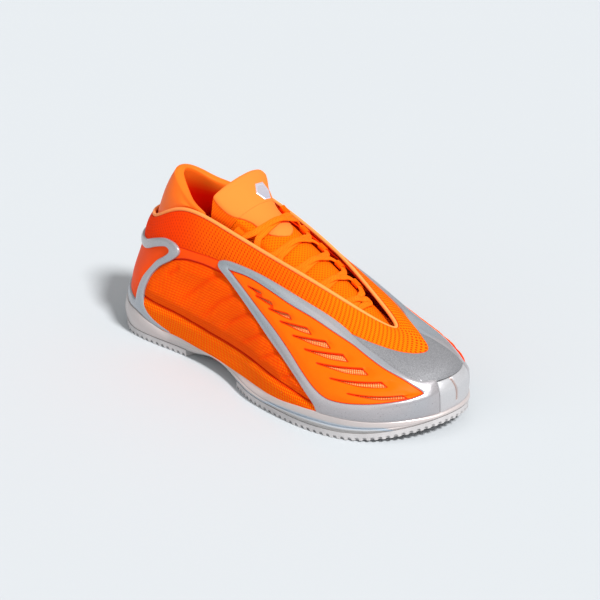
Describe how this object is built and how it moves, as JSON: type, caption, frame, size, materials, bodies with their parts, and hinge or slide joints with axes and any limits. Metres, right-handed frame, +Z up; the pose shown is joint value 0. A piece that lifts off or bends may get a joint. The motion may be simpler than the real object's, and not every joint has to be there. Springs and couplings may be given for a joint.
{
  "type": "mid-cut basketball shoe",
  "caption": "Mid-cut basketball shoe for the right foot with a meshed upper, piped shroud, winged side frames, lace loops and a tongue that drops and folds.",
  "frame": {"origin": "centre of the box round the shoe, at the ground under the outsole", "axes": "+X towards the toe along the shoe's length, +Y towards the medial side, +Z up"},
  "size_m": [0.2874, 0.113, 0.1273],
  "materials": {
    "mesh_orange": "open engineered mesh, neon orange",
    "smooth_orange": "smooth coated synthetic, satin",
    "piping_orange": "soft moulded edge, satin",
    "lining_red": "brushed lining, matte",
    "vent_orange": "moulded film, satin",
    "lace_orange": "woven flat lace and webbing",
    "pearl": "pearlescent silver-lilac",
    "pearl_sole": "pearlescent white-silver",
    "grey_textile": "fine coated textile, matte grey",
    "rubber_grey": "matte light grey rubber",
    "board_white": "plain board",
    "shank_grey": "moulded, satin",
    "foam_orange": "textile-topped foam",
    "counter_white": "plain board"
  },
  "bodies": {
    "shoe": {"outsole_forefoot": "rubber_grey", "outsole_heel": "rubber_grey", "midfoot_shank": "shank_grey", "midsole": "pearl_sole", "strobel_board": "board_white", "sockliner": "foam_orange", "bootie": "lining_red", "heel_counter": "counter_white", "toe_puff": "counter_white", "quarter_lateral": "mesh_orange", "quarter_medial": "mesh_orange", "lower_band_lateral": "mesh_orange", "lower_band_medial": "mesh_orange", "midfoot_strap_lateral": "smooth_orange", "midfoot_strap_medial": "smooth_orange", "vent_mesh_lateral": "mesh_orange", "vent_mesh_medial": "mesh_orange", "toe_panel": "grey_textile", "heel_insert": "smooth_orange", "shroud": "mesh_orange", "shroud_piping": "piping_orange", "wing_frame_lateral": "pearl", "vent_panel_lateral": "vent_orange", "wing_frame_medial": "pearl", "vent_panel_medial": "vent_orange", "heel_clip": "pearl", "toe_guard": "pearl_sole", "heel_collar": "smooth_orange", "eyestay_lateral": "smooth_orange", "eyestay_medial": "smooth_orange", "lace": "lace_orange", "lace_loop_lateral_1": "lace_orange", "lace_loop_lateral_2": "lace_orange", "lace_loop_lateral_3": "lace_orange", "lace_loop_lateral_4": "lace_orange", "lace_loop_lateral_5": "lace_orange", "lace_loop_medial_1": "lace_orange", "lace_loop_medial_2": "lace_orange", "lace_loop_medial_3": "lace_orange", "lace_loop_medial_4": "lace_orange", "lace_loop_medial_5": "lace_orange"},
    "tongue": {"tongue_body": "mesh_orange", "tongue_pad_lower": "smooth_orange"},
    "tongue_top": {"tongue_pad": "smooth_orange", "tongue_badge": "pearl", "size_label": "board_white"}
  },
  "joints": [
    {"name": "tongue_drop", "type": "hinge", "parent": "shoe", "child": "tongue", "pos_m": [0.0868, 0.007, 0.0527], "axis": [0, 1, 0], "range_deg": [-4, 0], "stiffness_Nm_per_rad": 0.4},
    {"name": "tongue_top_fold", "type": "hinge", "parent": "tongue", "child": "tongue_top", "pos_m": [-0.0271, 0.006, 0.1114], "axis": [0, 1, 0], "range_deg": [0, 55], "stiffness_Nm_per_rad": 0.05}
  ]
}
